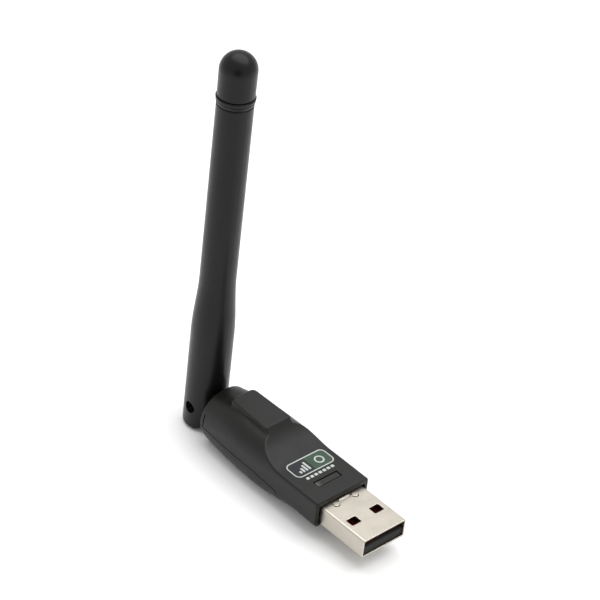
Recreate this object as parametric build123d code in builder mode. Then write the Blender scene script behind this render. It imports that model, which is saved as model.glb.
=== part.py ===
from build123d import *
import os

# USB wifi adapter with a folding, swivelling rod antenna. All sizes are in millimetres.
# Frame: the origin is on the plug's centre line at the housing's front face.
# +X points out of the plug's nose, +Y across the plug, +Z away from the contact tongue.
# The antenna stands upright at rest.

os.makedirs("parts", exist_ok=True)

# ---------------------------------------------------------------- driving dimensions
# USB type A plug
plug_width = 12.0
plug_height = 4.5
plug_reach = 13.0             # nose to the housing's front face
plug_buried = 5.75            # how far the metal shell runs into the housing
plug_sheet = 0.3              # thickness of the folded steel
plug_recess = (0.5, 0.45, 0.9)  # gap in the front face: beside the plug, above it, and its depth
tongue_top = 0.0              # level of the contact tongue: leaves 1.95 mm for the socket's own tongue
shell_corner = 0.5            # outer radius of the folded corners
nose_chamfer = 0.12
tongue_setback = 0.45         # tongue front behind the nose
latch_window = (2.1, 2.65)    # length, width
latch_window_x = plug_reach - 6.1
latch_window_y = 3.25
latch_window_corner = 0.32
pad_place = (0.95, 2.65)      # raised round pads: x and the distance from the centre line
pad_radius = 0.72
pad_height = 0.16
pad_blend = 0.08
pad_slit = 0.12               # width of the lanced slit round the pad's front half
tab_x = (0.3, 0.55)           # lanced tab beside the housing
tab_half_width = 1.4
tab_height = 0.22

# Housing
wall = 1.1
half_width = 7.4
deck_z = 3.8                  # flat label deck
ramp_radius = 12.2            # scoop between the deck and the raised rear
ramp_start_x = -11.5
rear_x = -37.95               # rear face, where the swivel comes out
foot_z = -6.1                 # flat underside that the adapter rests on
seam_z = -0.7                 # joint line between the two shells
belly_front_x = -9.6          # where the joint line meets the underside
cavity_front_x = -1.4
cavity_rear_x = -33.6
beyond = 40.0                 # larger than any part, for trimming

# Outer form: x, half width, top, top corner radius, bottom, bottom corner radius
stations = [
    (0.0, half_width, 7.8, 5.2, -2.65, 1.2),
    (-5.0, half_width, 7.8, 5.2, -2.9, 1.7),
    (-10.0, half_width, 7.8, 5.2, -3.75, 2.6),
    (-15.0, half_width, 7.5, 5.2, -5.2, 3.7),
    (-20.0, half_width, 7.25, 5.2, -6.15, 4.6),
    (-26.0, 7.3, 7.3, 5.4, -6.4, 5.2),
    (-32.0, 7.0, 7.15, 5.9, -6.35, 5.6),
    (rear_x, 6.4, 6.2, 5.95, -6.05, 5.9),
]

# Raised rib on top of the housing
rib_top = 8.3
rib_half_front = 3.7
rib_half_rear = 3.4
rib_front_x = -17.0           # buried in the ramp
rib_rear_x = -32.7
rib_floor = 2.0               # level, inside the form, that the rib is raised from
rib_corner = 1.2              # radius of the rear corners
foot_blend = 0.25             # radius along the rib's foot
rib_edge_blend = 0.4          # radius along the rib's top edge
crest_blend = 0.6             # radius where the rib's top rolls into the ramp
rear_blend = 0.3              # radius round the rear rim
front_blend = 0.3             # radius round the front face

# Parting groove and the pry notches at its rear end
parting_width = 0.18
parting_depth = 0.3
notch_x = (-37.0, -36.65)
notch_radii = (6.0, 9.0)
notch_angle = 13.0            # above the swivel axis, from the side

# LED window in the deck
window_x = -4.8
window_size = (1.9, 6.7)      # along X, along Y
window_gap = 0.26             # all round the lens
window_sink = 0.12            # below the deck
window_flange = (4.6, 7.8, 0.35)
light_pipe = (1.8, 2.2)
led_x = window_x - 2.4

# Swivel (turns about an axis along X) and fold hinge (axis along Y)
axis_z = -0.4
neck_radius = 3.2
flange_radius = 4.3
lug_radius = 4.9
groove_radius = 5.1
flange_x = (-36.1, -34.9)
axial_play = 0.1
running_clearance = 0.05
stop_half_angle = 9.0
pin_x = -43.5
pin_radius = 1.35
tongue_half = 2.1             # half thickness of the knuckle's tongue
slot_half = 2.3               # half width of the antenna's fork slot
tongue_radius = 3.8
tongue_half_height = 2.6
heel_radius = 5.3             # fork end, rounded about the pin on its front side

# Antenna, heights above the hinge pin
base_radius = 4.7
shaft_radius = 3.92
fork_bottom = -5.3
slot_top = 4.9
swell_bottom = 19.0
swell_top = 33.5
sleeve_top = 76.3
ring_top = 78.05
ring_radius = 4.17
cap_radius = 4.0
tip_top = 88.0
antenna_bore = 2.7
bore_floor = 7.0

# Electronics
board_top = -0.2
board_thickness = 1.0
board_half_width = 5.1
board_x = (-27.8, -5.85)
coax_radius = 0.55
coax_clearance = 0.2


def station(x):
    """A plane across the housing: its own x is +Y and its own y is +Z."""
    return Plane(origin=(x, 0, 0), x_dir=(0, 1, 0), z_dir=(1, 0, 0))


def side_plane(y=0.0):
    """A plane along the housing: its own x is +X, its own y is +Z, and its normal is -Y."""
    return Plane(origin=(0, y, 0), x_dir=(1, 0, 0), z_dir=(0, -1, 0))


def finish_piece(piece, label):
    """Label a finished piece and write it to its own file."""
    piece.part.label = label
    export_step(piece.part, f"parts/{label}.step")


# ---------------------------------------------------------------- housing forms
def lofted_form(inset, front_x, back_x):
    """The housing's outer form, drawn in by inset on every side, between two x positions."""
    smallest_radius = 0.4
    with BuildPart() as form:
        for x, half, top, top_radius, bottom, bottom_radius in stations:
            with BuildSketch(station(x)):
                with BuildLine():
                    FilletPolyline(
                        (half - inset, bottom + inset),
                        (half - inset, top - inset),
                        (inset - half, top - inset),
                        (inset - half, bottom + inset),
                        radius=[
                            max(bottom_radius - inset, smallest_radius),
                            top_radius - inset,
                            top_radius - inset,
                            max(bottom_radius - inset, smallest_radius),
                        ],
                        close=True,
                    )
                make_face()
        loft()
        # trim the ends
        with BuildSketch(station(back_x)):
            Rectangle(beyond, beyond)
        extrude(amount=front_x - back_x, mode=Mode.INTERSECT)
    return form.part


def scoop_cutter(offset):
    """Everything above the deck and its ramp, with the surface lowered by offset."""
    centre_z = deck_z + ramp_radius
    radius = ramp_radius + offset
    top = centre_z + 1.0
    with BuildPart() as cutter:
        with BuildSketch(side_plane()):
            with BuildLine():
                Polyline(
                    (ramp_start_x - radius, centre_z),
                    (ramp_start_x - radius, top),
                    (beyond, top),
                    (beyond, deck_z - offset),
                    (ramp_start_x, deck_z - offset),
                )
                CenterArc((ramp_start_x, centre_z), radius, 180, 90)
            make_face()
        extrude(amount=beyond / 2, both=True)
    return cutter.part


def belly_region(rise=0.0):
    """The space below the joint line, which rises from the underside and runs level to the rear."""
    with BuildPart() as region:
        with BuildSketch(side_plane()):
            with BuildLine():
                joint_line = FilletPolyline(
                    (belly_front_x + rise, foot_z - 3.0),
                    (belly_front_x - 0.6 + rise, -4.6),
                    (belly_front_x - 3.0 + rise, seam_z - 0.5 + rise),
                    (-20.0, seam_z + rise),
                    (rear_x - 8.0, seam_z + rise),
                    radius=[2.0, 1.6, 12.0],
                )
                Polyline(joint_line @ 1, (rear_x - 8.0, foot_z - 3.0), joint_line @ 0)
            make_face()
        extrude(amount=beyond / 2, both=True)
    return region.part


with BuildPart() as rib:
    with BuildSketch(Plane.XY.offset(rib_floor)):
        with BuildLine():
            Polyline(
                (rib_front_x, -rib_half_front),
                (rib_front_x, rib_half_front),
                (rib_rear_x, rib_half_rear),
                (rib_rear_x, -rib_half_rear),
                close=True,
            )
        make_face()
    extrude(amount=rib_top - rib_floor)
    fillet(rib.edges().filter_by(Axis.Z).group_by(Axis.X)[0], radius=rib_corner)

with BuildPart() as outer:
    add(lofted_form(0.0, 0.0, rear_x))
    add(rib.part)
    near_rib = [
        edge
        for edge in outer.edges()
        if rib_rear_x - 0.5 < edge.center().X < rib_front_x - 1.0
        and abs(edge.center().Y) < rib_half_front + 0.6
    ]
    # the foot runs level, unlike the rib's upright corners
    foot_edges = [
        edge
        for edge in near_rib
        if deck_z < edge.center().Z < rib_top - 0.2 and abs((edge @ 1 - edge @ 0).Z) < 0.8 * edge.length
    ]
    fillet(foot_edges, radius=foot_blend)
    top_edges = outer.edges().filter_by(lambda edge: abs(edge.center().Z - rib_top) < 0.01)
    fillet(top_edges.filter_by(lambda edge: edge.center().X < rib_front_x - 0.2), radius=rib_edge_blend)
    add(scoop_cutter(0.0), mode=Mode.SUBTRACT)
    crest_edges = outer.edges().filter_by(Axis.Y).filter_by(lambda edge: edge.center().X > rib_front_x - 5.0)
    fillet(crest_edges.filter_by(lambda edge: abs(edge.center().Z - rib_top) < 0.01), radius=crest_blend)
    fillet(outer.edges().group_by(Axis.X)[0], radius=rear_blend)
    fillet(outer.edges().group_by(Axis.X)[-1], radius=front_blend)
    # flat underside
    with BuildSketch(Plane.XY.offset(foot_z)):
        Rectangle(2 * beyond, beyond)
    extrude(amount=-beyond, mode=Mode.SUBTRACT)

with BuildPart() as cavity:
    add(lofted_form(wall, cavity_front_x, cavity_rear_x))
    add(scoop_cutter(wall), mode=Mode.SUBTRACT)


# ---------------------------------------------------------------- spaces that both shells leave open
with BuildPart() as housing_cuts:
    add(cavity.part)
    # pocket for the plug's metal shell
    with BuildSketch(station(-plug_buried)):
        Rectangle(plug_width, plug_height)
    extrude(amount=plug_buried + 1)
    # recess in the front face, round the plug's top and sides
    with BuildSketch(station(-plug_recess[2])):
        with Locations((0, plug_recess[1] / 2)):
            RectangleRounded(plug_width + 2 * plug_recess[0], plug_height + plug_recess[1], shell_corner)
    extrude(amount=plug_recess[2] + 1)
    # bore and groove that hold the swivel
    with BuildSketch(station(rear_x - 1)):
        with Locations((0, axis_z)):
            Circle(neck_radius + running_clearance)
    extrude(amount=cavity_rear_x - rear_x + 2)
    with BuildSketch(station(flange_x[0] - axial_play)):
        with Locations((0, axis_z)):
            Circle(groove_radius)
    extrude(amount=flange_x[1] - flange_x[0] + 2 * axial_play)


def ring_sector(inner, outer_radius, centre_angle, x_range, half_angle=stop_half_angle):
    """A short block on the swivel's axis, between two radii and two x positions."""
    start = centre_angle - half_angle
    with BuildPart() as block:
        with BuildSketch(station(x_range[0])):
            with BuildLine():
                outer_arc = CenterArc((0, axis_z), outer_radius, start, 2 * half_angle)
                inner_arc = CenterArc((0, axis_z), inner, start, 2 * half_angle)
                Line(outer_arc @ 0, inner_arc @ 0)
                Line(outer_arc @ 1, inner_arc @ 1)
            make_face()
        extrude(amount=x_range[1] - x_range[0])
    return block.part


with BuildPart() as parting_groove:
    add(belly_region(parting_width))
    add(lofted_form(parting_depth, 0.0, rear_x), mode=Mode.SUBTRACT)

# ---------------------------------------------------------------- top shell
with BuildPart() as top_shell:
    add(outer.part)
    add(housing_cuts.part, mode=Mode.SUBTRACT)
    add(belly_region(), mode=Mode.SUBTRACT)
    # parting groove along the joint line, and a pry notch on each side behind it
    add(parting_groove.part, mode=Mode.SUBTRACT)
    for angle in (notch_angle, 180 - notch_angle):
        notch = ring_sector(notch_radii[0], notch_radii[1], angle, notch_x, notch_angle)
        add(notch, mode=Mode.SUBTRACT)
    # slot for the LED window
    with BuildSketch(Plane.XY.offset(deck_z - wall - 0.5)):
        with Locations((window_x, 0)):
            Rectangle(*window_size)
    extrude(amount=wall + 1.5, mode=Mode.SUBTRACT)
finish_piece(top_shell, "top_shell")

# ---------------------------------------------------------------- bottom shell
board_rib_x = (-18.5, -26.5)
board_rib_size = (1.0, 8.0)
board_rib_floor = foot_z + wall - 0.3
with BuildPart() as bottom_shell:
    add(outer.part)
    add(housing_cuts.part, mode=Mode.SUBTRACT)
    add(belly_region(), mode=Mode.INTERSECT)
    # cross ribs that carry the circuit board
    for x in board_rib_x:
        with BuildSketch(Plane.XY.offset(board_rib_floor)):
            with Locations((x, 0)):
                Rectangle(*board_rib_size)
        extrude(amount=board_top - board_thickness - board_rib_floor)
    # stop for the swivel's lug
    groove_x = (flange_x[0] - axial_play, flange_x[1] + axial_play)
    add(ring_sector(flange_radius + 0.2, groove_radius + 0.2, -90, groove_x))
finish_piece(bottom_shell, "bottom_shell")

# ---------------------------------------------------------------- LED window with its light pipe
with BuildPart() as led_window:
    # lens, set a little below the deck
    with BuildSketch(Plane.XY.offset(deck_z - wall)):
        with Locations((window_x, 0)):
            RectangleRounded(window_size[0] - 2 * window_gap, window_size[1] - 2 * window_gap, 0.1)
    extrude(amount=wall - window_sink)
    # flange under the deck
    flange_bottom = deck_z - wall - window_flange[2]
    with BuildSketch(Plane.XY.offset(flange_bottom)):
        with Locations((window_x - 1.0, 0)):
            Rectangle(window_flange[0], window_flange[1])
    extrude(amount=window_flange[2])
    # light pipe that reaches down to the LED
    with BuildSketch(Plane.XY.offset(board_top + 0.9)):
        with Locations((led_x, 0)):
            Rectangle(*light_pipe)
    extrude(amount=flange_bottom - board_top - 0.9)
finish_piece(led_window, "led_window")

# ---------------------------------------------------------------- USB plug: folded metal shell
plug_inner = (plug_width - 2 * plug_sheet, plug_height - 2 * plug_sheet)
with BuildPart() as usb_shell:
    with BuildSketch(station(-plug_buried)):
        RectangleRounded(plug_width, plug_height, shell_corner)
    extrude(amount=plug_buried + plug_reach)
    with BuildSketch(station(-plug_buried - 1)):
        RectangleRounded(*plug_inner, shell_corner / 2)
    extrude(amount=plug_buried + plug_reach + 2, mode=Mode.SUBTRACT)
    # latch windows, two above and two below
    with BuildSketch(Plane.XY.offset(-plug_height)):
        with Locations((latch_window_x, latch_window_y), (latch_window_x, -latch_window_y)):
            RectangleRounded(*latch_window, latch_window_corner)
    extrude(amount=2 * plug_height, mode=Mode.SUBTRACT)
    # rolled edge of the nose
    chamfer(usb_shell.edges().filter_by(GeomType.LINE).group_by(Axis.X)[-1], length=nose_chamfer)
    # raised pads, each with a lanced slit in front of it
    plug_top = plug_height / 2
    pad_places = [(pad_place[0], side * pad_place[1]) for side in (-1, 1)]
    with BuildSketch(Plane.XY.offset(plug_top - plug_sheet / 2)):
        with Locations(pad_places):
            Circle(pad_radius)
    extrude(amount=plug_sheet / 2 + pad_height)
    fillet(usb_shell.edges().filter_by(GeomType.CIRCLE).group_by(Axis.Z)[-1], radius=pad_blend)
    with BuildSketch(Plane.XY.offset(plug_top - 2 * plug_sheet)):
        with Locations(pad_places):
            Circle(pad_radius + pad_slit)
            Circle(pad_radius, mode=Mode.SUBTRACT)
        with Locations([(x - pad_radius, y) for x, y in pad_places]):
            Rectangle(2 * pad_radius, 4 * pad_radius, mode=Mode.SUBTRACT)
    extrude(amount=4 * plug_sheet, mode=Mode.SUBTRACT)
    # lanced tab beside the housing
    with BuildSketch(side_plane(tab_half_width)):
        with BuildLine():
            Polyline(
                (tab_x[0], plug_top - 0.05),
                (tab_x[0], plug_top + tab_height),
                (tab_x[0] + 0.12, plug_top + tab_height),
                (tab_x[1], plug_top - 0.05),
                close=True,
            )
        make_face()
    extrude(amount=2 * tab_half_width)
    # clear the inside again
    with BuildSketch(station(-1.0)):
        Rectangle(*plug_inner)
    extrude(amount=4.0, mode=Mode.SUBTRACT)
finish_piece(usb_shell, "usb_shell")

# ---------------------------------------------------------------- USB plug: contacts and tongue
contact_top = tongue_top + 0.05
contact_thickness = 0.2
contact_width = 1.0
contact_back = -8.0
contact_y = (-3.5, -1.0, 1.0, 3.5)
contact_nose_gap = (1.4, 2.4, 2.4, 1.4)     # the outer two are longer, so that power makes first
contacts = []
for number, (y, nose_gap) in enumerate(zip(contact_y, contact_nose_gap), start=1):
    front = plug_reach - nose_gap
    with BuildPart() as usb_contact:
        with BuildSketch(Plane.XY.offset(contact_top - contact_thickness)):
            with Locations(((front + contact_back) / 2, y)):
                Rectangle(front - contact_back, contact_width)
        extrude(amount=contact_thickness)
        fillet(usb_contact.edges().filter_by(Axis.Z).group_by(Axis.X)[-1], radius=0.3)
    finish_piece(usb_contact, f"usb_contact_{number}")
    contacts.append(usb_contact.part)

insulator_fit = 0.02
insulator_back_x = -plug_buried + 0.15
insulator_width = plug_inner[0] - 0.3
tongue_front_x = plug_reach - tongue_setback
tongue_back_x = 0.6           # behind this the plastic fills the shell's full height
with BuildPart() as usb_insulator:
    bottom = -plug_inner[1] / 2 + insulator_fit
    with BuildSketch(Plane.XY.offset(bottom)):
        with Locations(((tongue_front_x + insulator_back_x) / 2, 0)):
            Rectangle(tongue_front_x - insulator_back_x, insulator_width)
    extrude(amount=tongue_top - bottom)
    chamfer(usb_insulator.edges().filter_by(Axis.Y).group_by(Axis.X)[-1], length=0.2)
    with BuildSketch(Plane.XY.offset(bottom)):
        with Locations(((tongue_back_x + insulator_back_x) / 2, 0)):
            Rectangle(tongue_back_x - insulator_back_x, insulator_width)
    extrude(amount=plug_inner[1] - 2 * insulator_fit)
    # grooves that the contacts lie in
    for contact in contacts:
        add(contact, mode=Mode.SUBTRACT)
finish_piece(usb_insulator, "usb_insulator")

# ---------------------------------------------------------------- circuit board and its components
board_centre_x = sum(board_x) / 2
board_length = board_x[1] - board_x[0]
contact_bottom = contact_top - contact_thickness
pad_x = -7.1
pad_size = (1.8, 1.3)
with BuildPart() as circuit_board:
    with BuildSketch(Plane.XY.offset(board_top - board_thickness)):
        with Locations((board_centre_x, 0)):
            RectangleRounded(board_length, 2 * board_half_width, 0.4)
    extrude(amount=board_thickness)
    # raised solder pads under the contact tails
    with BuildSketch(Plane.XY.offset(board_top)):
        with Locations([(pad_x, y) for y in contact_y]):
            Rectangle(*pad_size)
    extrude(amount=contact_bottom - board_top)
finish_piece(circuit_board, "circuit_board")


def chip(label, x, y, size, corner=0.08):
    """A small rectangular component standing on the board."""
    with BuildPart() as body:
        with BuildSketch(Plane.XY.offset(board_top)):
            with Locations((x, y)):
                Rectangle(size[0], size[1])
        extrude(amount=size[2])
        chamfer(body.faces().sort_by(Axis.Z)[-1].edges(), length=corner)
    finish_piece(body, label)


chip("wifi_chip", -14.5, 0.0, (5.0, 5.0, 0.85))
chip("crystal_oscillator", -19.6, -2.4, (2.5, 3.2, 0.75))
chip("voltage_regulator", -19.6, 2.4, (2.9, 1.6, 1.1))
chip("status_led", led_x, 0.0, (1.6, 0.8, 0.6))
capacitor_places = [(-10.2, -3.6), (-10.2, 3.6), (-14.5, -3.9), (-14.5, 3.9), (-22.6, 2.2), (-22.6, 3.6)]
for number, (x, y) in enumerate(capacitor_places, start=1):
    chip(f"chip_capacitor_{number}", x, y, (1.0, 0.5, 0.5), 0.06)
resistor_places = [(-9.9, -1.2), (-9.9, 1.2), (-23.4, -1.6), (-23.4, -2.8)]
for number, (x, y) in enumerate(resistor_places, start=1):
    chip(f"chip_resistor_{number}", x, y, (1.0, 0.5, 0.35), 0.05)

# ---------------------------------------------------------------- coaxial lead, in three captive runs
lead_start_x = -25.0
lead_split_x = -35.6
lead_split_gap = 0.15
lead_hinge_gap = 0.9          # either side of the hinge pin's axis
lead_rise = board_top + coax_radius + 0.05
with BuildPart() as coax_housing:
    with BuildLine() as lead_path:
        FilletPolyline(
            (lead_start_x, 0, lead_rise),
            (lead_start_x - 3.6, 0, lead_rise),
            (lead_split_x + 3.4, 0, axis_z),
            (lead_split_x, 0, axis_z),
            radius=6.0,
        )
    with BuildSketch(Plane(origin=(lead_start_x, 0, lead_rise), z_dir=(-1, 0, 0))):
        Circle(coax_radius)
    sweep(path=lead_path.line)
finish_piece(coax_housing, "coax_housing")

with BuildPart() as coax_swivel:
    with BuildSketch(station(pin_x + lead_hinge_gap)):
        with Locations((0, axis_z)):
            Circle(coax_radius)
    extrude(amount=lead_split_x - lead_split_gap - pin_x - lead_hinge_gap)
finish_piece(coax_swivel, "coax_swivel")

# ---------------------------------------------------------------- swivel knuckle
neck_x = (rear_x, -34.0)
knuckle_slot_half = coax_radius + 0.25
knuckle_slot_end = 1.3        # radius about the pin, at the blind ends of the slot
with BuildPart() as swivel_knuckle:
    # neck in the housing's bore
    with BuildSketch(station(neck_x[0])):
        with Locations((0, axis_z)):
            Circle(neck_radius)
    extrude(amount=neck_x[1] - neck_x[0])
    # flange that keeps it in
    with BuildSketch(station(flange_x[0])):
        with Locations((0, axis_z)):
            Circle(flange_radius)
    extrude(amount=flange_x[1] - flange_x[0])
    add(ring_sector(flange_radius - 0.3, lug_radius, 90, flange_x))
    # tongue between the antenna's fork arms
    with BuildSketch(side_plane()):
        with Locations((pin_x, axis_z)):
            Circle(tongue_radius)
        with Locations(((pin_x + neck_x[0]) / 2 + 0.1, axis_z)):
            Rectangle(neck_x[0] - pin_x + 0.2, 2 * tongue_half_height)
    extrude(amount=tongue_half, both=True)
    # passage for the lead, opening into a slot that lets it fold with the antenna
    with BuildSketch(station(pin_x)):
        with Locations((0, axis_z)):
            Circle(coax_radius + coax_clearance)
    extrude(amount=neck_x[1] - pin_x + 1, mode=Mode.SUBTRACT)
    with BuildSketch(side_plane()):
        with Locations((pin_x, axis_z)):
            Circle(knuckle_slot_end)
        with BuildLine():
            slot_reach = tongue_radius + 2
            Polyline(
                (pin_x + knuckle_slot_end, axis_z),
                (pin_x + knuckle_slot_end, axis_z + slot_reach),
                (pin_x - slot_reach, axis_z + slot_reach),
                (pin_x - slot_reach, axis_z - knuckle_slot_end),
                (pin_x, axis_z - knuckle_slot_end),
                (pin_x, axis_z),
                close=True,
            )
        make_face()
    extrude(amount=knuckle_slot_half, both=True, mode=Mode.SUBTRACT)
    # holes for the two hinge pins
    with BuildSketch(side_plane()):
        with Locations((pin_x, axis_z)):
            Circle(pin_radius)
    extrude(amount=10, both=True, mode=Mode.SUBTRACT)
finish_piece(swivel_knuckle, "swivel_knuckle")

# hinge pins, one in each cheek of the tongue
pin_inner = knuckle_slot_half + 0.05
pin_outer = base_radius - 1.5
pin_chamfer = 0.25
for name, side in (("hinge_pin_near", -1), ("hinge_pin_far", 1)):
    with BuildPart() as hinge_pin:
        with BuildSketch(Plane.XZ.offset(-side * pin_inner)):
            with Locations((pin_x, axis_z)):
                Circle(pin_radius)
        extrude(amount=-side * (pin_outer - pin_inner))
        outer_face = hinge_pin.faces().filter_by(Axis.Y).sort_by(Axis.Y)[0 if side < 0 else -1]
        chamfer(outer_face.edges(), length=pin_chamfer)
    finish_piece(hinge_pin, name)

# ---------------------------------------------------------------- antenna
pin_z = axis_z
tip_chamfer = 0.22            # where the sleeve meets the ring
base_blend = 0.5              # radius round the sleeve's lower end
antenna_axis = Axis((pin_x, 0, 0), (0, 0, 1))


def antenna_plane(y=0.0):
    """The plane of the fold: its own origin is on the hinge pin, its y is up the antenna."""
    return Plane(origin=(pin_x, y, pin_z), x_dir=(1, 0, 0), z_dir=(0, -1, 0))


with BuildPart() as antenna_sleeve:
    with BuildSketch(antenna_plane()):
        with BuildLine():
            Polyline(
                (shaft_radius, sleeve_top),
                (0, sleeve_top),
                (0, fork_bottom),
                (base_radius, fork_bottom),
                (base_radius, swell_bottom),
            )
            Spline(
                (base_radius, swell_bottom),
                (shaft_radius, swell_top),
                tangents=((0, 1), (0, 1)),
            )
            Line((shaft_radius, swell_top), (shaft_radius, sleeve_top))
        make_face()
    revolve(axis=antenna_axis)
    chamfer(antenna_sleeve.edges().filter_by(GeomType.CIRCLE).group_by(Axis.Z)[-1], length=tip_chamfer)
    fillet(antenna_sleeve.edges().filter_by(GeomType.CIRCLE).group_by(Axis.Z)[0], radius=base_blend)
    # bore for the radiator, and a passage down to the fork
    with BuildSketch(Plane(origin=(pin_x, 0, pin_z + bore_floor))):
        Circle(antenna_bore)
    extrude(amount=sleeve_top, mode=Mode.SUBTRACT)
    with BuildSketch(Plane(origin=(pin_x, 0, pin_z))):
        Circle(coax_radius + coax_clearance)
    extrude(amount=bore_floor + 1, mode=Mode.SUBTRACT)
    # fork slot
    with BuildSketch(Plane(origin=(pin_x, 0, pin_z + fork_bottom - 1))):
        Rectangle(beyond, 2 * slot_half)
    extrude(amount=slot_top - fork_bottom + 1, mode=Mode.SUBTRACT)
    # heel: the fork's front lower corner is rounded about the pin, so it clears the housing
    with BuildSketch(antenna_plane()):
        with Locations((5, -5)):
            Rectangle(10, 10)
        Circle(heel_radius, mode=Mode.SUBTRACT)
    extrude(amount=10, both=True, mode=Mode.SUBTRACT)
    # pin holes
    with BuildSketch(antenna_plane()):
        Circle(pin_radius + running_clearance)
    extrude(amount=10, both=True, mode=Mode.SUBTRACT)
finish_piece(antenna_sleeve, "antenna_sleeve")

stem_radius = antenna_bore - 0.05
stem_length = 6.0
ring_chamfer = 0.18
ring_waist_z = (sleeve_top + ring_top) / 2
ring_waist_radius = (shaft_radius + ring_radius) / 2
ring_waist_half = 0.13
with BuildPart() as antenna_ring:
    with BuildSketch(antenna_plane()):
        with BuildLine():
            Polyline(
                (stem_radius, sleeve_top),
                (shaft_radius - tip_chamfer, sleeve_top),
                (shaft_radius + 0.02, sleeve_top + 0.25),
                (ring_waist_radius + 0.03, ring_waist_z - ring_waist_half),
                (ring_waist_radius - 0.06, ring_waist_z),
                (ring_waist_radius + 0.06, ring_waist_z + ring_waist_half),
                (ring_radius, ring_top - ring_chamfer),
                (ring_radius - ring_chamfer, ring_top),
                (stem_radius, ring_top),
                close=True,
            )
        make_face()
    revolve(axis=antenna_axis)
finish_piece(antenna_ring, "antenna_ring")

dome_centre = tip_top - cap_radius
socket_radius = 1.2
socket_depth = 8.0
with BuildPart() as antenna_tip_cap:
    with BuildSketch(antenna_plane()):
        with BuildLine():
            Polyline(
                (0, tip_top),
                (0, sleeve_top - stem_length),
                (stem_radius, sleeve_top - stem_length),
                (stem_radius, ring_top),
                (cap_radius - 0.3, ring_top),
                (cap_radius - 0.05, ring_top + 0.3),
                (cap_radius, dome_centre),
            )
            CenterArc((0, dome_centre), cap_radius, 0, 90)
        make_face()
    revolve(axis=antenna_axis)
    # blind socket that leaves room for the radiator's end
    with BuildSketch(Plane(origin=(pin_x, 0, pin_z + sleeve_top - stem_length - 1))):
        Circle(socket_radius)
    extrude(amount=socket_depth + 1, mode=Mode.SUBTRACT)
finish_piece(antenna_tip_cap, "antenna_tip_cap")

dipole_bottom = 36.0
dipole_top = 53.0
dipole_radius = 2.1
dipole_wall = 0.25
dipole_end = 0.4
wire_radius = 0.3
wire_length = 23.0
with BuildPart() as coax_antenna:
    with BuildSketch(Plane(origin=(pin_x, 0, pin_z + lead_hinge_gap))):
        Circle(coax_radius)
    extrude(amount=dipole_top - lead_hinge_gap)
finish_piece(coax_antenna, "coax_antenna")

with BuildPart() as dipole_sleeve:
    with BuildSketch(Plane(origin=(pin_x, 0, pin_z + dipole_bottom))):
        Circle(dipole_radius)
        Circle(dipole_radius - dipole_wall, mode=Mode.SUBTRACT)
    extrude(amount=dipole_top - dipole_bottom)
    # end disc, soldered to the lead's braid
    with BuildSketch(Plane(origin=(pin_x, 0, pin_z + dipole_top - dipole_end))):
        Circle(dipole_radius)
        Circle(coax_radius, mode=Mode.SUBTRACT)
    extrude(amount=dipole_end)
finish_piece(dipole_sleeve, "dipole_sleeve")

with BuildPart() as radiator_wire:
    with BuildSketch(Plane(origin=(pin_x, 0, pin_z + dipole_top))):
        Circle(wire_radius)
    extrude(amount=wire_length)
finish_piece(radiator_wire, "radiator_wire")
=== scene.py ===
import math

import bpy
import bmesh
from mathutils import Matrix, Vector


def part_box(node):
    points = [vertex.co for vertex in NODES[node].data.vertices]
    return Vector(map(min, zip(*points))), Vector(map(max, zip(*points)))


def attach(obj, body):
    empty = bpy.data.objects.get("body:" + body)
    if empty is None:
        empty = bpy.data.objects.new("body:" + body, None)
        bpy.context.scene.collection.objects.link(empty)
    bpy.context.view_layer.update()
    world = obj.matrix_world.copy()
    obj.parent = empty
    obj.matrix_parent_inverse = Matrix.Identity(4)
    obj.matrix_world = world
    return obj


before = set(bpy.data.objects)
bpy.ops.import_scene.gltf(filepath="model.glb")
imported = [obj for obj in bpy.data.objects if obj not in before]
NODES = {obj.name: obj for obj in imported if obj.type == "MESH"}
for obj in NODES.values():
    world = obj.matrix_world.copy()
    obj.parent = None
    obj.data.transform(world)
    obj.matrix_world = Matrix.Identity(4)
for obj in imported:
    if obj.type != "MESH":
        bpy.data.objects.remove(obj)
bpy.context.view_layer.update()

MM = 0.001

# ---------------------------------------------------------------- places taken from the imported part
FLOOR_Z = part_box("bottom_shell")[0].z
TONGUE_FRONT_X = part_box("usb_insulator")[1].x
WINDOW_LOW, WINDOW_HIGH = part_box("led_window")
WINDOW_SINK = 0.12                       # the window sits this far below the deck, in mm
DECK_Z = WINDOW_HIGH.z + WINDOW_SINK * MM

# ---------------------------------------------------------------- camera, light and floor
CENTRE = (-0.02, 0.0, 0.02)
CAMERA_HEADING = (43.6434, 36.0817)      # azimuth and elevation, in degrees
CAMERA_ROLL = 7.038
CAMERA_TARGET = (-20.0, 0.0, 25.2246)    # in mm
CAMERA_SHIFT = (2.2633, 12.6003)         # to the right and up in the picture, in mm
CAMERA_DISTANCE = 537.685                # in mm
CAMERA_LENS = 156.0
CAMERA_SENSOR = 36.0
SOFTBOX_PLACE = (-0.10, 0.22, 0.95)
SOFTBOX_SIZE = (1.6, 1.0)
SOFTBOX_WATTS = 8.8
WORLD_STRENGTH = 0.85
FLOOR_HALF = 1.5
FLAG_HEADING = (43.6, 14.0)              # azimuth and elevation, in degrees
FLAG_DISTANCE = 0.5
FLAG_RADIUS = 0.2


def heading(azimuth, elevation):
    """The way out from the object, azimuth 0 being -Y, from angles in degrees."""
    azimuth, elevation = math.radians(azimuth), math.radians(elevation)
    return Vector((
        math.sin(azimuth) * math.cos(elevation),
        -math.cos(azimuth) * math.cos(elevation),
        math.sin(elevation),
    ))


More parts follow.
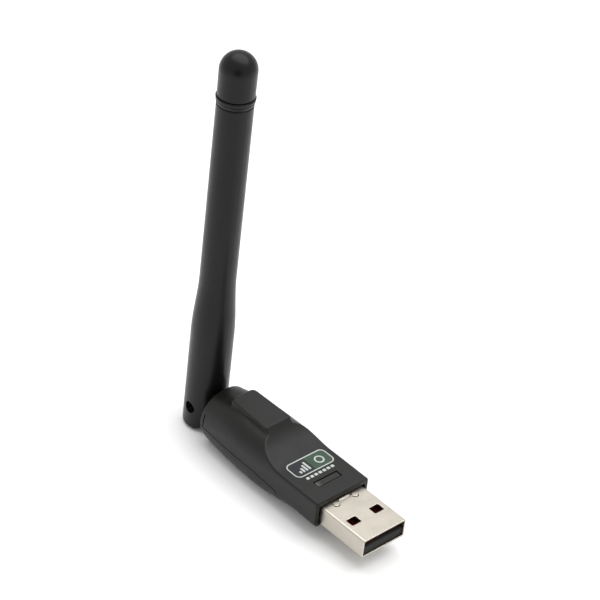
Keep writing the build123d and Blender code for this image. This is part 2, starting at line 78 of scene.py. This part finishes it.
def add_camera():
    """The photograph's view: a long lens, from the plug's side and above, with a slight roll."""
    azimuth, roll = math.radians(CAMERA_HEADING[0]), math.radians(CAMERA_ROLL)
    back = heading(*CAMERA_HEADING)
    level_right = Vector((math.cos(azimuth), math.sin(azimuth), 0.0))
    level_up = back.cross(level_right)
    right = level_right * math.cos(roll) + level_up * math.sin(roll)
    up = level_up * math.cos(roll) - level_right * math.sin(roll)
    shift = right * CAMERA_SHIFT[0] + up * CAMERA_SHIFT[1]
    eye = (Vector(CAMERA_TARGET) + shift + back * CAMERA_DISTANCE) * MM
    data = bpy.data.cameras.new("photo_camera")
    data.sensor_width = CAMERA_SENSOR
    data.lens = CAMERA_LENS
    data.clip_start = 0.01
    data.clip_end = 20.0
    camera = bpy.data.objects.new("photo_camera", data)
    camera.matrix_world = Matrix((
        (right.x, up.x, back.x, eye.x),
        (right.y, up.y, back.y, eye.y),
        (right.z, up.z, back.z, eye.z),
        (0, 0, 0, 1),
    ))
    bpy.context.scene.collection.objects.link(camera)
    bpy.context.scene.camera = camera


def add_softbox():
    """An elliptical area light overhead, facing the object."""
    data = bpy.data.lights.new("overhead", "AREA")
    data.shape = "ELLIPSE"
    data.size, data.size_y = SOFTBOX_SIZE
    data.energy = SOFTBOX_WATTS
    light = bpy.data.objects.new("overhead", data)
    light.location = SOFTBOX_PLACE
    direction = Vector(CENTRE) - Vector(SOFTBOX_PLACE)
    light.rotation_euler = direction.to_track_quat("-Z", "Y").to_euler()
    bpy.context.scene.collection.objects.link(light)


def studio_object(name, bm, grey, specular):
    """An object of the studio, in one plain grey."""
    mesh = bpy.data.meshes.new(name)
    bm.to_mesh(mesh)
    bm.free()
    piece = bpy.data.objects.new(name, mesh)
    bpy.context.scene.collection.objects.link(piece)
    material = bpy.data.materials.new(f"{name}_grey")
    material.use_nodes = True
    shader = material.node_tree.nodes["Principled BSDF"]
    shader.inputs["Base Color"].default_value = (grey, grey, grey, 1.0)
    shader.inputs["Roughness"].default_value = 0.9
    shader.inputs["Specular IOR Level"].default_value = specular
    mesh.materials.append(material)
    return piece


def add_floor():
    """A plain pale sheet under the object."""
    bm = bmesh.new()
    corners = ((-1, -1), (1, -1), (1, 1), (-1, 1))
    bm.faces.new([bm.verts.new((x * FLOOR_HALF, y * FLOOR_HALF, FLOOR_Z)) for x, y in corners])
    floor = studio_object("floor", bm, 0.9, 0.1)


def add_camera_side():
    """The dark side of the studio, below the camera: a round black flag that only reflections show."""
    away = heading(*FLAG_HEADING)
    bm = bmesh.new()
    bmesh.ops.create_circle(bm, cap_ends=True, segments=48, radius=FLAG_RADIUS)
    flag = studio_object("camera_side_flag", bm, 0.02, 0.5)
    flag.location = Vector(CENTRE) + away * FLAG_DISTANCE
    flag.rotation_euler = away.to_track_quat("Z", "Y").to_euler()
    flag.visible_camera = False
    flag.visible_shadow = False
    flag.visible_diffuse = False


def add_world():
    """An even white surround."""
    world = bpy.data.worlds.new("studio")
    world.use_nodes = True
    background = world.node_tree.nodes["Background"]
    background.inputs["Color"].default_value = (1.0, 1.0, 1.0, 1.0)
    background.inputs["Strength"].default_value = WORLD_STRENGTH
    bpy.context.scene.world = world


add_camera()
add_floor()
add_world()
add_softbox()
add_camera_side()
bpy.context.scene.view_settings.view_transform = "Standard"

# ---------------------------------------------------------------- materials
NOISE_SPREAD = (0.3, 0.7)                # noise mostly stays between these


class Graph:
    """A material whose nodes are added one call at a time."""

    def __init__(self, name, colour, roughness, metallic=0.0):
        self.material = bpy.data.materials.new(name)
        self.material.use_nodes = True
        self.tree = self.material.node_tree
        self.shader = self.tree.nodes["Principled BSDF"]
        self.shader.inputs["Base Color"].default_value = (*colour, 1.0)
        self.shader.inputs["Roughness"].default_value = roughness
        self.shader.inputs["Metallic"].default_value = metallic
        self.place = self.tree.nodes.new("ShaderNodeTexCoord").outputs["Object"]

    def link(self, output, socket):
        self.tree.links.new(output, socket)

    def specular(self, level):
        self.shader.inputs["Specular IOR Level"].default_value = level

    def stretched(self, scale):
        """The place, scaled by a different amount along each axis."""
        node = self.tree.nodes.new("ShaderNodeMapping")
        node.inputs["Scale"].default_value = scale
        self.link(self.place, node.inputs["Vector"])
        return node.outputs["Vector"]

    def noise(self, size_mm, detail=2.0, rough=0.5, place=None):
        """Noise from 0 to 1 whose features are about that many millimetres across."""
        node = self.tree.nodes.new("ShaderNodeTexNoise")
        node.inputs["Scale"].default_value = 1.0 / (size_mm * MM)
        node.inputs["Detail"].default_value = detail
        node.inputs["Roughness"].default_value = rough
        self.link(place or self.place, node.inputs["Vector"])
        return node.outputs["Fac"]

    def spread(self, value, low, high, from_low=0.0, from_high=1.0):
        """value, mapped from one range to another."""
        node = self.tree.nodes.new("ShaderNodeMapRange")
        node.inputs["From Min"].default_value = from_low
        node.inputs["From Max"].default_value = from_high
        node.inputs["To Min"].default_value = low
        node.inputs["To Max"].default_value = high
        self.link(value, node.inputs["Value"])
        return node.outputs["Result"]

    def math(self, operation, a, b):
        node = self.tree.nodes.new("ShaderNodeMath")
        node.operation = operation
        for socket, value in zip(node.inputs, (a, b)):
            if isinstance(value, (int, float)):
                socket.default_value = value
            else:
                self.link(value, socket)
        return node.outputs["Value"]

    def mix(self, factor, first, second):
        """first where factor is 0, second where it is 1; each may be a colour or another node's output."""
        node = self.tree.nodes.new("ShaderNodeMix")
        node.data_type = "RGBA"
        self.link(factor, node.inputs[0])
        for socket, value in ((node.inputs[6], first), (node.inputs[7], second)):
            if isinstance(value, bpy.types.NodeSocket):
                self.link(value, socket)
            else:
                socket.default_value = (*value, 1.0)
        return node.outputs[2]

    def blend(self, share_a, a, b):
        """A weighted sum of two values."""
        return self.math("ADD", self.math("MULTIPLY", a, share_a), self.math("MULTIPLY", b, 1.0 - share_a))

    def colour(self, output):
        self.link(output, self.shader.inputs["Base Color"])

    def roughness(self, output):
        self.link(output, self.shader.inputs["Roughness"])

    def rounded(self, radius_mm):
        """The normal with edges softened to that radius."""
        node = self.tree.nodes.new("ShaderNodeBevel")
        node.samples = 6
        node.inputs["Radius"].default_value = radius_mm * MM
        return node.outputs["Normal"]

    def edges(self, radius_mm):
        """1 along the edges and 0 on the flats, from how far the softened normal leans."""
        true_normal = self.tree.nodes.new("ShaderNodeNewGeometry").outputs["Normal"]
        node = self.tree.nodes.new("ShaderNodeVectorMath")
        node.operation = "DOT_PRODUCT"
        self.link(self.rounded(radius_mm), node.inputs[0])
        self.link(true_normal, node.inputs[1])
        return self.spread(node.outputs["Value"], 0.0, 1.0, 0.995, 0.9)

    def polish_and_painted_highlight(self, edge_mm, patch_mm, least):
        """A mask along the edges, in patches, from least to 1: it lowers their roughness and paints a highlight
        on them.
        """
        patches = self.spread(self.noise(patch_mm, 3.0), least, 1.0, 0.35, 0.65)
        return self.math("MULTIPLY", self.edges(edge_mm), patches)

    def axis(self, name):
        """The place along one axis, in metres."""
        node = self.tree.nodes.new("ShaderNodeSeparateXYZ")
        self.link(self.place, node.inputs["Vector"])
        return node.outputs[name]

    def bump(self, height, depth_mm, edge_mm=0.0):
        """A bump whose height spans that many millimetres from 0 to 1, over edges softened to a radius."""
        node = self.tree.nodes.new("ShaderNodeBump")
        node.inputs["Strength"].default_value = 1.0
        node.inputs["Distance"].default_value = depth_mm * MM
        self.link(height, node.inputs["Height"])
        if edge_mm:
            self.link(self.rounded(edge_mm), node.inputs["Normal"])
        self.link(node.outputs["Normal"], self.shader.inputs["Normal"])


def scaled(colour, factor, lift=0.0):
    """A colour made brighter or darker, and no channel above 1."""
    return tuple(min(1.0, channel * factor + lift) for channel in colour)


def moulded_plastic(name, colour, roughness, grain_mm, grain_depth_mm, specular=0.5, variation=0.25, edge_mm=0.0):
    """Injection-moulded plastic: a fine tool texture, faint flow marks, and handling marks in the gloss."""
    g = Graph(name, colour, roughness)
    g.specular(specular)
    flow_marks = g.noise(9.0, 3.0, 0.55)
    fine = g.noise(grain_mm, 3.0, 0.6)
    tint = g.spread(g.blend(0.6, flow_marks, fine), 0.0, 1.0, *NOISE_SPREAD)
    base = g.mix(tint, scaled(colour, 1.0 - variation), scaled(colour, 1.0 + variation))
    smudge = g.noise(4.0, 4.0, 0.6)
    gloss = g.spread(smudge, roughness * 0.86, roughness * 1.16, *NOISE_SPREAD)
    if edge_mm:
        # painted highlight along the edges: their colour is made a little paler, and their roughness lowered
        polish_and_painted_highlight = g.polish_and_painted_highlight(edge_mm, 1.2, 0.25)
        base = g.mix(polish_and_painted_highlight, base, scaled(colour, 1.6, 0.002))
        gloss = g.math("MULTIPLY", gloss, g.spread(polish_and_painted_highlight, 1.0, 0.8))
    g.colour(base)
    g.roughness(gloss)
    g.bump(fine, grain_depth_mm, edge_mm)
    return g


def metal(name, colour, roughness, grain_mm, stretch, edge_mm=0.0):
    """Plated or drawn metal: fine lines along the way it was worked, and faint tarnish."""
    g = Graph(name, colour, roughness, 1.0)
    lines = g.noise(grain_mm, 2.0, 0.5, g.stretched(stretch))
    cloud = g.noise(3.0, 3.0, 0.6)
    base = g.mix(g.spread(cloud, 0.0, 1.0, *NOISE_SPREAD), scaled(colour, 0.95), scaled(colour, 1.03))
    gloss = g.spread(g.blend(0.7, lines, cloud), roughness * 0.8, roughness * 1.2, *NOISE_SPREAD)
    if edge_mm:
        # painted highlight along the folds: their colour is made brighter, and their roughness lowered
        polish_and_painted_highlight = g.polish_and_painted_highlight(edge_mm, 0.9, 0.6)
        base = g.mix(polish_and_painted_highlight, base, scaled(colour, 1.8))
        gloss = g.math("MULTIPLY", gloss, g.spread(polish_and_painted_highlight, 1.0, 0.7))
    g.colour(base)
    g.roughness(gloss)
    g.bump(lines, 0.002, edge_mm)
    return g


def tongue_plastic():
    """Matt black plastic that is maroon behind the tongue's nose."""
    g = moulded_plastic("tongue_plastic", (0.028, 0.029, 0.028), 0.5, 0.3, 0.003, 0.05)
    nose_black = g.shader.inputs["Base Color"].links[0].from_socket
    maroon_from, maroon_to = TONGUE_FRONT_X - 1.4 * MM, TONGUE_FRONT_X - 0.4 * MM
    maroon_share = g.spread(g.axis("X"), 1.0, 0.0, maroon_from, maroon_to)
    g.colour(g.mix(maroon_share, nose_black, (0.11, 0.010, 0.011)))
    return g


def lens_plastic():
    """Smoked, polished plastic with a painted highlight: paler, in streaks, towards its -Y end."""
    g = Graph("smoked_lens", (0.014, 0.011, 0.009), 0.1)
    g.specular(0.6)
    window_half = (WINDOW_HIGH.y - WINDOW_LOW.y) / 2
    near_end = g.spread(g.axis("Y"), 1.0, 0.0, -window_half, -0.45 * window_half)
    streaks = g.noise(0.5, 3.0, 0.6, g.stretched((1.0, 0.35, 1.0)))
    # painted highlight: the colour turns paler towards the -Y end, in streaks
    painted_highlight = g.math("MULTIPLY", near_end, g.spread(streaks, 0.15, 1.0, 0.35, 0.65))
    g.colour(g.mix(painted_highlight, (0.008, 0.0055, 0.004), (0.20, 0.195, 0.18)))
    g.roughness(g.spread(streaks, 0.07, 0.16, *NOISE_SPREAD))
    g.bump(g.noise(1.6, 2.0), 0.008)
    return g


def assign(graph, *nodes):
    for name in nodes:
        NODES[name].data.materials.clear()
        NODES[name].data.materials.append(graph.material)


def numbered(name, count):
    return [f"{name}_{number}" for number in range(1, count + 1)]


housing_plastic = moulded_plastic("housing_plastic", (0.0068, 0.0075, 0.0062), 0.4, 0.16, 0.006, 0.29, 0.3, 0.12)
assign(housing_plastic, "top_shell", "bottom_shell")
antenna_plastic = moulded_plastic("antenna_plastic", (0.0025, 0.0028, 0.0024), 0.33, 0.35, 0.002, 0.26, 0.3, 0.1)
assign(antenna_plastic, "antenna_sleeve", "antenna_ring", "antenna_tip_cap")
knuckle_plastic = moulded_plastic("knuckle_plastic", (0.01, 0.01, 0.01), 0.35, 0.25, 0.003)
assign(knuckle_plastic, "swivel_knuckle")
assign(tongue_plastic(), "usb_insulator")
assign(lens_plastic(), "led_window")
coax_jacket = moulded_plastic("coax_jacket", (0.03, 0.03, 0.03), 0.5, 0.2, 0.004)
assign(coax_jacket, "coax_housing", "coax_swivel", "coax_antenna")
chip_black = moulded_plastic("chip_black", (0.02, 0.02, 0.021), 0.55, 0.1, 0.004)
assign(chip_black, "wifi_chip", "voltage_regulator", *numbered("chip_resistor", 4))
ceramic = moulded_plastic("component_ceramic", (0.42, 0.30, 0.19), 0.5, 0.1, 0.004)
assign(ceramic, *numbered("chip_capacitor", 6))
assign(moulded_plastic("board_green", (0.01, 0.09, 0.035), 0.3, 0.4, 0.01), "circuit_board")
assign(moulded_plastic("led_body", (0.75, 0.75, 0.68), 0.15, 0.4, 0.002), "status_led")

ALONG_X, ALONG_Y, ALONG_Z = (0.12, 1.0, 1.0), (1.0, 0.12, 1.0), (1.0, 1.0, 0.1)
assign(metal("plug_steel", (0.535, 0.495, 0.433), 0.32, 0.06, ALONG_X, 0.14), "usb_shell")
assign(metal("contact_gold", (0.83, 0.60, 0.25), 0.25, 0.06, ALONG_X), *numbered("usb_contact", 4))
assign(metal("pin_steel", (0.42, 0.42, 0.43), 0.35, 0.05, ALONG_Y), "hinge_pin_near", "hinge_pin_far")
assign(metal("crystal_can", (0.7, 0.7, 0.7), 0.3, 0.08, (1.0, 1.0, 1.0)), "crystal_oscillator")
assign(metal("dipole_brass", (0.72, 0.53, 0.26), 0.3, 0.08, ALONG_Z), "dipole_sleeve")
assign(metal("radiator_copper", (0.75, 0.4, 0.25), 0.3, 0.08, ALONG_Z), "radiator_wire")

# ---------------------------------------------------------------- printed label on the deck, in mm
# The label is read from the plug's end: its words would run along +Y, with their tops towards -X.
LABEL_X = (-12.95, -8.25)
LABEL_Y = (-5.05, 5.7)
LABEL_CORNER = 1.3
LABEL_STROKE = 0.26
LABEL_SPLIT_Y = 0.15
PANEL_INSET = LABEL_STROKE + 0.02
SPLIT_GAP = 0.01               # each panel stops this far from the split
RAMP_START_X = -11.5
RAMP_RADIUS = 12.2
PANEL_THICKNESS = 0.026
MARK_THICKNESS = 0.038         # the marks are printed over the panels
INK_SINK = 0.008               # the ink's underside is this far below the deck
BAR_FOOT_X = -9.25
BAR_FIRST_Y = -3.45
BAR_WIDTH = 0.5
BAR_PITCH = 0.82
BAR_HEIGHTS = (0.75, 1.35, 1.95, 2.55)
BAR_CORNER = 0.12
RING_CENTRE = (-10.55, 2.85)
RING_RADII = (1.15, 0.8)
RING_STEPS = 72
DASH_X = (-7.65, -6.95)
DASH_FIRST_Y = -3.7
DASH_LENGTH = 0.8
DASH_PITCH = 1.16
DASH_COUNT = 7
DASH_CORNER = 0.14
CORNER_STEPS = 8               # points round each corner of the outline
SIDE_STEPS = 8                 # and along each of its sides
NO_CLIP = (-99.0, 99.0)


def deck_height(x):
    """The deck's level at x, in mm: flat, then rising along the ramp's arc."""
    level = DECK_Z / MM
    if x > RAMP_START_X:
        return level
    return level + RAMP_RADIUS - math.sqrt(RAMP_RADIUS ** 2 - (x - RAMP_START_X) ** 2)


def ink_material(name, colour, roughness=0.5):
    """Pad-printed ink: slightly uneven in density, with pinholes and a dull surface."""
    g = Graph(name, colour, roughness)
    g.specular(0.3)
    density = g.noise(0.35, 4.0, 0.7)
    g.colour(g.mix(g.spread(density, 0.0, 1.0, 0.32, 0.6), scaled(colour, 0.72), colour))
    g.roughness(g.spread(g.noise(0.8, 2.0), roughness * 0.85, roughness * 1.15, *NOISE_SPREAD))
    g.bump(g.noise(0.08, 2.0), 0.003)
    return g.material


def print_ink(name, rows, material, thickness=MARK_THICKNESS, wrap=False):
    """A thin printed shape whose surface runs between rows of (x, y) points, and follows the deck."""
    bm = bmesh.new()
    grid = []
    for row in rows:
        grid.append([bm.verts.new((x * MM, y * MM, (deck_height(x) - INK_SINK) * MM)) for x, y in row])
    for low, high in zip(grid, grid[1:]):
        count = len(low)
        for i in range(count if wrap else count - 1):
            j = (i + 1) % count
            bm.faces.new((low[i], low[j], high[j], high[i]))
    bmesh.ops.remove_doubles(bm, verts=bm.verts, dist=1e-7)
    bmesh.ops.recalc_face_normals(bm, faces=bm.faces)
    bm.normal_update()
    if sum(face.normal.z * face.calc_area() for face in bm.faces) < 0:
        bmesh.ops.reverse_faces(bm, faces=bm.faces)
    mesh = bpy.data.meshes.new(name)
    bm.to_mesh(mesh)
    bm.free()
    piece = bpy.data.objects.new(name, mesh)
    bpy.context.scene.collection.objects.link(piece)
    solid = piece.modifiers.new("thickness", "SOLIDIFY")
    solid.thickness = thickness * MM
    solid.offset = 1.0
    mesh.materials.append(material)
    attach(piece, "housing")


def rounded_loop(x_range, y_range, radius, inset):
    """Points round a rounded rectangle, drawn in by inset."""
    radius -= inset
    x_low, x_high = x_range[0] + inset + radius, x_range[1] - inset - radius
    y_low, y_high = y_range[0] + inset + radius, y_range[1] - inset - radius
    corners = ((x_high, y_high, 0), (x_low, y_high, 90), (x_low, y_low, 180), (x_high, y_low, 270))
    loop = []
    for (x, y, start), (next_x, next_y, _) in zip(corners, corners[1:] + corners[:1]):
        for step in range(CORNER_STEPS + 1):
            angle = math.radians(start + 90 * step / CORNER_STEPS)
            loop.append((x + radius * math.cos(angle), y + radius * math.sin(angle)))
        end = math.radians(start + 90)
        for step in range(1, SIDE_STEPS):
            part = step / SIDE_STEPS
            loop.append((
                x + (next_x - x) * part + radius * math.cos(end),
                y + (next_y - y) * part + radius * math.sin(end),
            ))
    return loop


def rounded_rows(x_range, y_range, radius, clip=NO_CLIP, columns=6):
    """Rows of points across a rounded rectangle, kept between two y values."""
    corner = [radius * (1 - math.cos(math.radians(15 * k))) for k in range(7)]
    flat = x_range[1] - x_range[0] - 2 * radius
    steps = max(2, round(flat / 0.4))
    places = [x_range[0] + reach for reach in corner]
    places += [x_range[0] + radius + flat * k / steps for k in range(1, steps)]
    places += [x_range[1] - reach for reach in reversed(corner)]
    rows = []
    for x in places:
        end = min(x - x_range[0], x_range[1] - x)
        short = radius - math.sqrt(max(0.0, radius ** 2 - max(0.0, radius - end) ** 2))
        low = max(y_range[0] + short, clip[0])
        high = min(y_range[1] - short, clip[1])
        rows.append([(x, low + (high - low) * c / columns) for c in range(columns + 1)])
    return rows


ink_pale = ink_material("ink_pale", (0.50, 0.54, 0.51))
ink_green = ink_material("ink_green", (0.036, 0.070, 0.046), 0.45)
ink_slate = ink_material("ink_slate", (0.013, 0.014, 0.018), 0.45)

outline_loops = [rounded_loop(LABEL_X, LABEL_Y, LABEL_CORNER, inset) for inset in (0.0, LABEL_STROKE)]
print_ink("label_outline", outline_loops, ink_pale, wrap=True)

# the two panels, slate on the near side and green on the far side
panel_x = (LABEL_X[0] + PANEL_INSET, LABEL_X[1] - PANEL_INSET)
panel_y = (LABEL_Y[0] + PANEL_INSET, LABEL_Y[1] - PANEL_INSET)
panel_corner = LABEL_CORNER - PANEL_INSET
slate_rows = rounded_rows(panel_x, panel_y, panel_corner, clip=(NO_CLIP[0], LABEL_SPLIT_Y - SPLIT_GAP))
green_rows = rounded_rows(panel_x, panel_y, panel_corner, clip=(LABEL_SPLIT_Y + SPLIT_GAP, NO_CLIP[1]))
print_ink("label_panel_slate", slate_rows, ink_slate, PANEL_THICKNESS)
print_ink("label_panel_green", green_rows, ink_green, PANEL_THICKNESS)

# four rising signal bars on the slate half, and a plain ring on the green half
for number, height in enumerate(BAR_HEIGHTS, start=1):
    y = BAR_FIRST_Y + BAR_PITCH * (number - 1)
    rows = rounded_rows((BAR_FOOT_X - height, BAR_FOOT_X), (y, y + BAR_WIDTH), BAR_CORNER, columns=3)
    print_ink(f"label_bar_{number}", rows, ink_pale)

ring_angles = [2 * math.pi * step / RING_STEPS for step in range(RING_STEPS)]
ring_rows = []
for radius in RING_RADII:
    ring_rows.append([
        (RING_CENTRE[0] + radius * math.cos(angle), RING_CENTRE[1] + radius * math.sin(angle))
        for angle in ring_angles
    ])
print_ink("label_ring", ring_rows, ink_pale, wrap=True)

# a row of plain dashes under the label
for number in range(1, DASH_COUNT + 1):
    y = DASH_FIRST_Y + DASH_PITCH * (number - 1)
    rows = rounded_rows(DASH_X, (y, y + DASH_LENGTH), DASH_CORNER, columns=3)
    print_ink(f"label_dash_{number}", rows, ink_pale)
